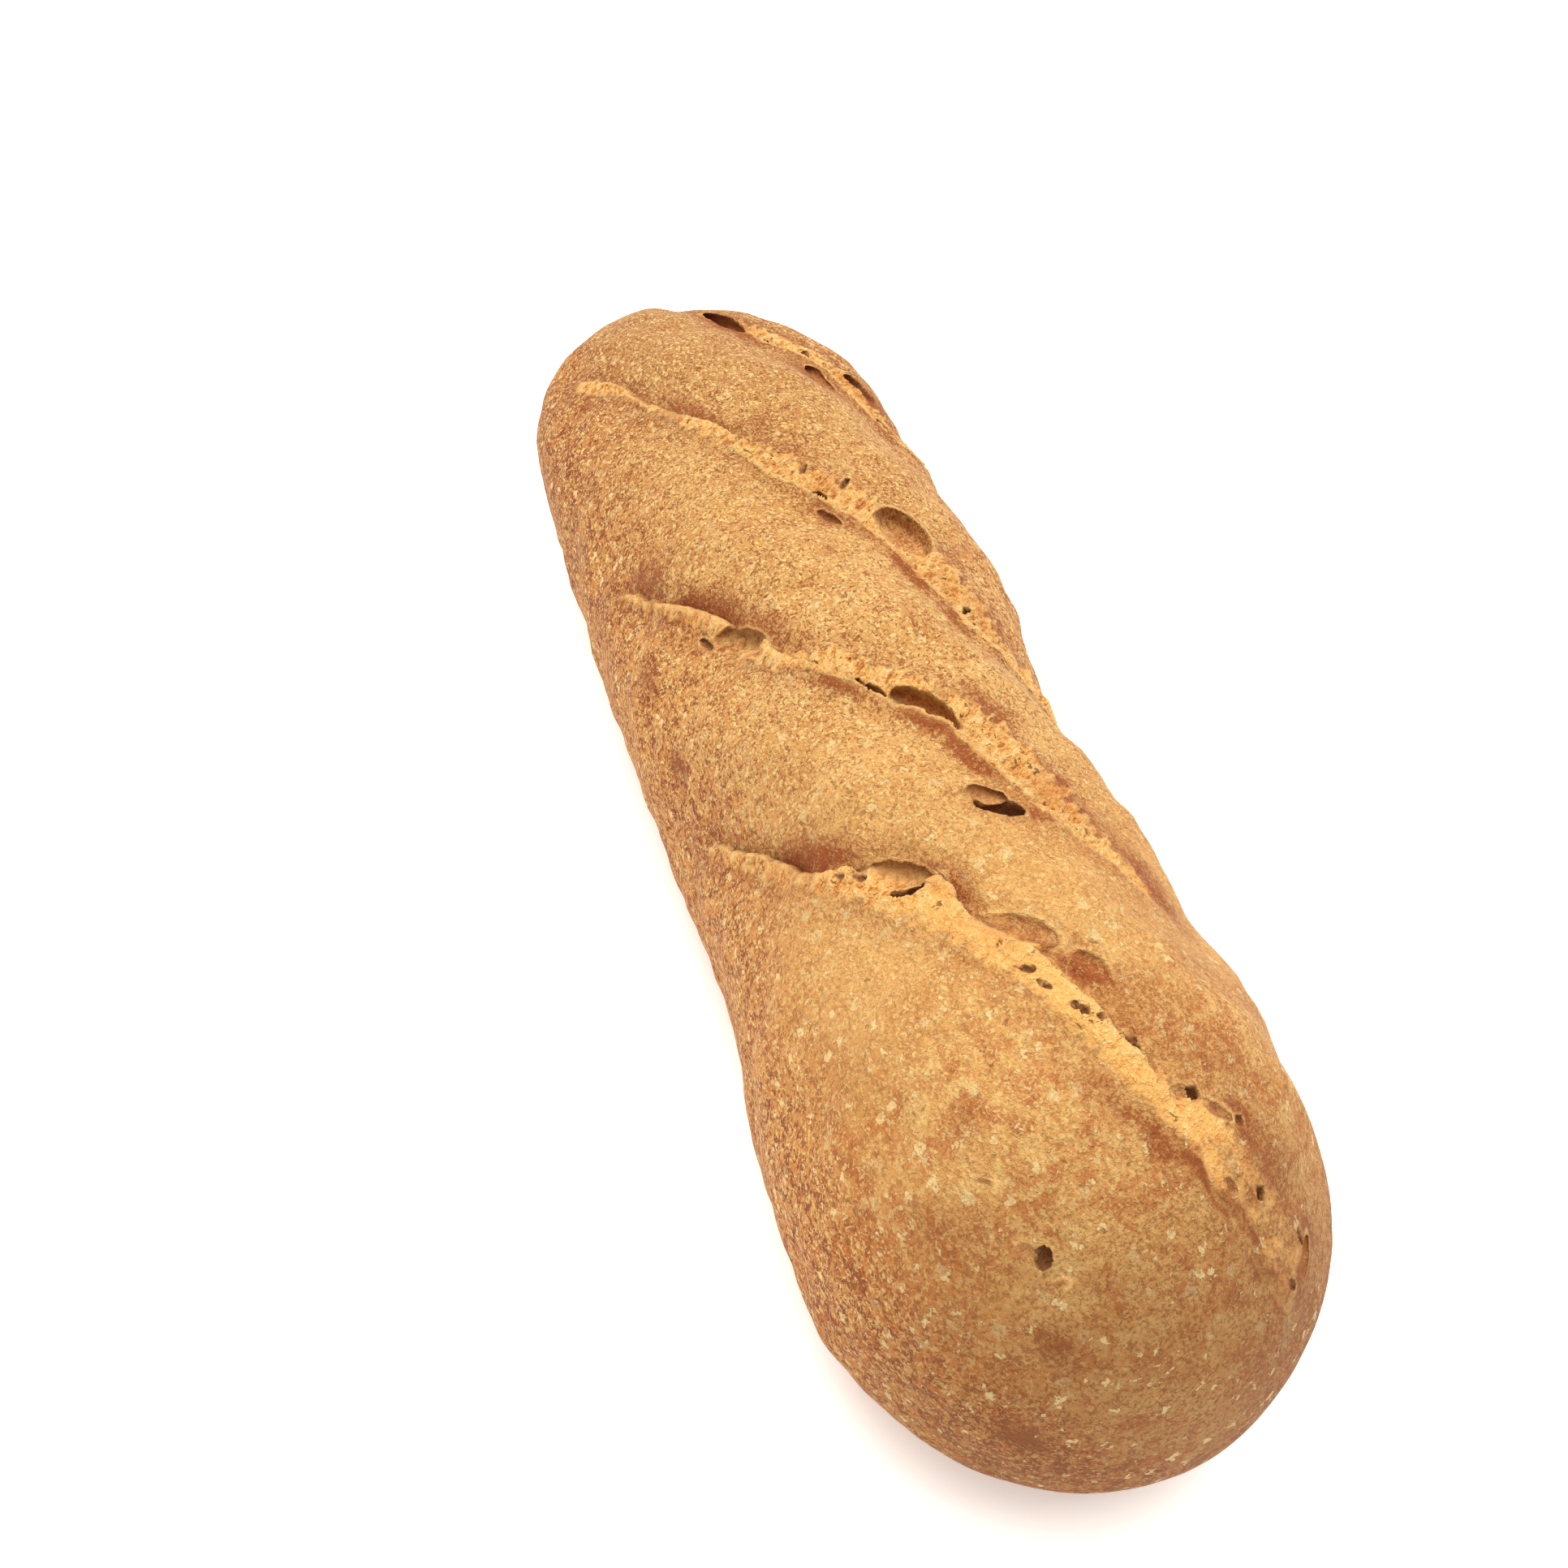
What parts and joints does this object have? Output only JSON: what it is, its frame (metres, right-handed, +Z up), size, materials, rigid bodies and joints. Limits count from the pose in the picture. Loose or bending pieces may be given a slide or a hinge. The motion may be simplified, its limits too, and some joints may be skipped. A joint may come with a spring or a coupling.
{
  "type": "baguette",
  "caption": "Small wholemeal baguette: a round-ended loaf on a flat sole, slashed diagonally across the top, with torn crumb strips and burst bubbles.",
  "frame": {"origin": "centre of the bounding box on the surface that the loaf rests on", "axes": "+X along the loaf towards its fuller end, +Z up from the sole to the slashed top"},
  "size_m": [0.236, 0.0695, 0.0609],
  "materials": {
    "crust": "matte baked wholemeal crust with bran flecks and paler torn crumb"
  },
  "bodies": {
    "root": {"loaf": "crust"}
  },
  "joints": []
}
